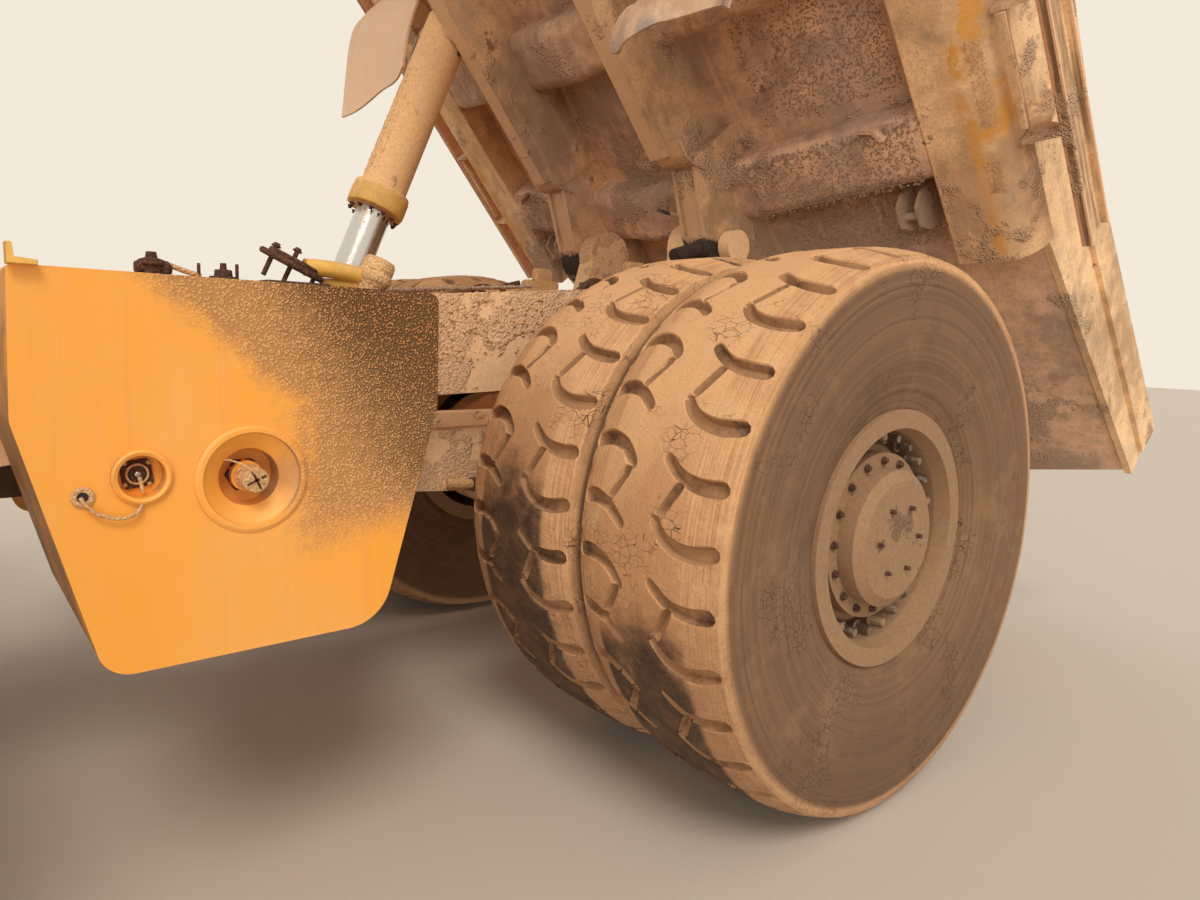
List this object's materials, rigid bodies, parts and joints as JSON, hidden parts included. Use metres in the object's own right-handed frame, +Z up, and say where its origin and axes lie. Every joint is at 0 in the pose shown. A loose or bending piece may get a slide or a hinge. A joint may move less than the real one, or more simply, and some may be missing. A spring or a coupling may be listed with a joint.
{
  "type": "rigid off-highway dump truck",
  "caption": "Off-highway rigid dump truck with twin rear wheels, tipping bed raised on its hoist, steered front wheels and an opening cab door.",
  "frame": {"origin": "on the floor under the middle of the parked truck's bounding box", "axes": "+Z up, -Y the way the truck drives, +Y towards its tail, +X to the truck's own left"},
  "size_m": [5, 10.3838, 8.7951],
  "materials": {
    "bed_yellow": "weathered orange-yellow paint, dusty",
    "body_yellow": "orange-yellow paint under tan dust",
    "frame_paint": "orange-brown paint caked with mud",
    "dark_iron": "dark oily iron",
    "hoist_paint": "dusty tan paint",
    "chrome_rod": "polished hydraulic rod with a dust film",
    "tyre_rubber": "black rubber under ochre dust",
    "rim_paint": "dusty rim paint",
    "flap_rubber": "dusty black rubber",
    "window_glass": "dusty clear glass",
    "lamp": "clear lamp lens",
    "seat_trim": "dark grained plastic and cloth"
  },
  "bodies": {
    "chassis": {"air_cleaners": "body_yellow", "cab_glass": "window_glass", "cab_roof": "body_yellow", "cab_seat": "seat_trim", "cab_walls": "body_yellow", "cross_members": "frame_paint", "deck_left": "body_yellow", "deck_right": "body_yellow", "drive_line": "dark_iron", "engine_block": "dark_iron", "frame_rails": "frame_paint", "front_bumper": "body_yellow", "front_struts": "frame_paint", "fuel_tank": "body_yellow", "grille": "frame_paint", "handrails": "frame_paint", "headlamps": "lamp", "hood": "body_yellow", "hydraulic_tank": "body_yellow", "mirrors": "body_yellow", "radiator": "dark_iron", "rear_axle": "frame_paint", "rear_struts": "frame_paint", "stairs": "body_yellow", "steer_barrels": "dark_iron"},
    "bed": {"bed_bolsters": "bed_yellow", "bed_floor": "bed_yellow", "bed_front": "bed_yellow", "bed_rails": "bed_yellow", "bed_sides": "bed_yellow", "rock_ejectors": "dark_iron"},
    "flaps": {"bed_flaps": "flap_rubber"},
    "hoist_barrel_body": {"hoist_barrel": "hoist_paint"},
    "hoist_stage_body": {"hoist_stage": "chrome_rod"},
    "hoist_rod_body": {"hoist_rod": "chrome_rod"},
    "door": {"cab_door": "body_yellow", "door_glass": "window_glass"},
    "steer_left": {"knuckle_left": "dark_iron"},
    "steer_right": {"knuckle_right": "dark_iron"},
    "tie_rod_body": {"tie_rod": "dark_iron"},
    "steer_rod_left_body": {"steer_rod_left": "chrome_rod"},
    "steer_rod_right_body": {"steer_rod_right": "chrome_rod"},
    "wheel_front_left": {"front_tyre_left": "tyre_rubber", "front_rim_left": "rim_paint"},
    "wheel_front_right": {"front_tyre_right": "tyre_rubber", "front_rim_right": "rim_paint"},
    "wheel_rear_left": {"rear_tyres_left": "tyre_rubber", "rear_rim_left": "rim_paint"},
    "wheel_rear_right": {"rear_tyres_right": "tyre_rubber", "rear_rim_right": "rim_paint"}
  },
  "joints": [
    {"name": "bed_hinge", "type": "hinge", "parent": "chassis", "child": "bed", "pos_m": [0, 2.528, 2.3], "axis": [-1, 0, 0], "range_deg": [-50, 4]},
    {"name": "flap_swing", "type": "hinge", "parent": "bed", "child": "flaps", "pos_m": [0, 1.55087, 3.86899], "axis": [-1, 0, 0], "range_deg": [-4.1, 50.1]},
    {"name": "hoist_swing", "type": "hinge", "parent": "bed", "child": "hoist_barrel_body", "pos_m": [-0.722, 1.56849, 3.46995], "axis": [-1, 0, 0], "range_deg": [-3.88, 47.3]},
    {"name": "hoist_stage_slide", "type": "slide", "parent": "hoist_barrel_body", "child": "hoist_stage_body", "axis": [0, -0.3871, -0.922], "range_m": [-0.651, 0.053]},
    {"name": "hoist_rod_slide", "type": "slide", "parent": "hoist_stage_body", "child": "hoist_rod_body", "axis": [0, -0.3871, -0.922], "range_m": [-0.6268, 0.0511]},
    {"name": "front_left_steer", "type": "hinge", "parent": "chassis", "child": "steer_left", "pos_m": [1.12, -2.262, 1.08], "axis": [0, 0, 1], "range_deg": [-39, 39]},
    {"name": "front_right_steer", "type": "hinge", "parent": "chassis", "child": "steer_right", "pos_m": [-1.12, -2.262, 1.08], "axis": [0, 0, 1], "range_deg": [-39.1, 39.1]},
    {"name": "tie_rod_swing", "type": "hinge", "parent": "steer_left", "child": "tie_rod_body", "pos_m": [1.12, -1.812, 0.94], "axis": [0, 0, 1], "range_deg": [-39.1, 39.1]},
    {"name": "steer_rod_left_slide", "type": "slide", "parent": "chassis", "child": "steer_rod_left_body", "axis": [1, 0, 0], "range_m": [-0.19, 0.19]},
    {"name": "steer_rod_right_slide", "type": "slide", "parent": "chassis", "child": "steer_rod_right_body", "axis": [1, 0, 0], "range_m": [-0.19, 0.19]},
    {"name": "front_left_spin", "type": "hinge", "parent": "steer_left", "child": "wheel_front_left", "pos_m": [1.602, -2.262, 1.08], "axis": [1, 0, 0], "continuous": true},
    {"name": "front_right_spin", "type": "hinge", "parent": "steer_right", "child": "wheel_front_right", "pos_m": [-1.602, -2.262, 1.08], "axis": [1, 0, 0], "continuous": true},
    {"name": "rear_left_spin", "type": "hinge", "parent": "chassis", "child": "wheel_rear_left", "pos_m": [1.458, 1.928, 1.08], "axis": [1, 0, 0], "continuous": true},
    {"name": "rear_right_spin", "type": "hinge", "parent": "chassis", "child": "wheel_rear_right", "pos_m": [-1.458, 1.928, 1.08], "axis": [1, 0, 0], "continuous": true},
    {"name": "door_hinge", "type": "hinge", "parent": "chassis", "child": "door", "pos_m": [2.05, -3.84, 3.25], "axis": [0, 0, -1], "range_deg": [0, 85]}
  ],
  "couplings": [
    {"joint": "flap_swing", "follows": "bed_hinge", "ratio": -1},
    {"joint": "hoist_swing", "follows": "bed_hinge", "ratio": -0.944},
    {"joint": "hoist_stage_slide", "follows": "bed_hinge", "m_per_rad": 0.7448},
    {"joint": "hoist_rod_slide", "follows": "bed_hinge", "m_per_rad": 0.7171},
    {"joint": "front_right_steer", "follows": "front_left_steer", "ratio": 1},
    {"joint": "tie_rod_swing", "follows": "front_left_steer", "ratio": -1},
    {"joint": "steer_rod_left_slide", "follows": "front_left_steer", "m_per_rad": 0.2774},
    {"joint": "steer_rod_right_slide", "follows": "front_left_steer", "m_per_rad": 0.2774}
  ]
}
